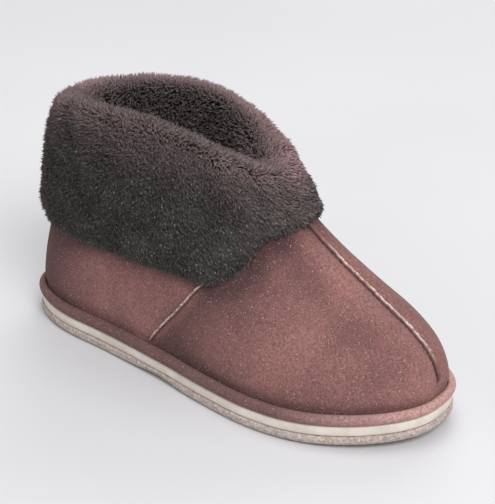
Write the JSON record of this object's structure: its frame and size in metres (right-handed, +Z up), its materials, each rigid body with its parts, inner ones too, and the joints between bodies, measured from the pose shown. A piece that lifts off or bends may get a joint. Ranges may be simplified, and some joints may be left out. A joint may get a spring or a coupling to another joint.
{
  "type": "slipper",
  "caption": "Sheepskin bootee slipper for the right foot: seamed suede upper, deep dark fur cuff turned down over it, padded rand and two-layer sole.",
  "frame": {"origin": "on the floor under the middle of the slipper's length and width", "axes": "+X to the toe, +Y to the inner side of the right foot, +Z up"},
  "size_m": [0.2762, 0.1088, 0.1506],
  "materials": {
    "outsole_crepe": "pebbled matt grey-beige crepe",
    "midsole_foam": "smooth cream foam",
    "insole_fleece": "short dark fleece",
    "rand_suede": "rose-brown suede",
    "upper_suede": "rose-brown suede with raised seams",
    "cuff_fur": "dense dark brown sheep's wool"
  },
  "bodies": {
    "root": {"outsole": "outsole_crepe", "midsole": "midsole_foam", "insole": "insole_fleece", "rand": "rand_suede", "upper": "upper_suede", "fur_cuff": "cuff_fur"}
  },
  "joints": []
}
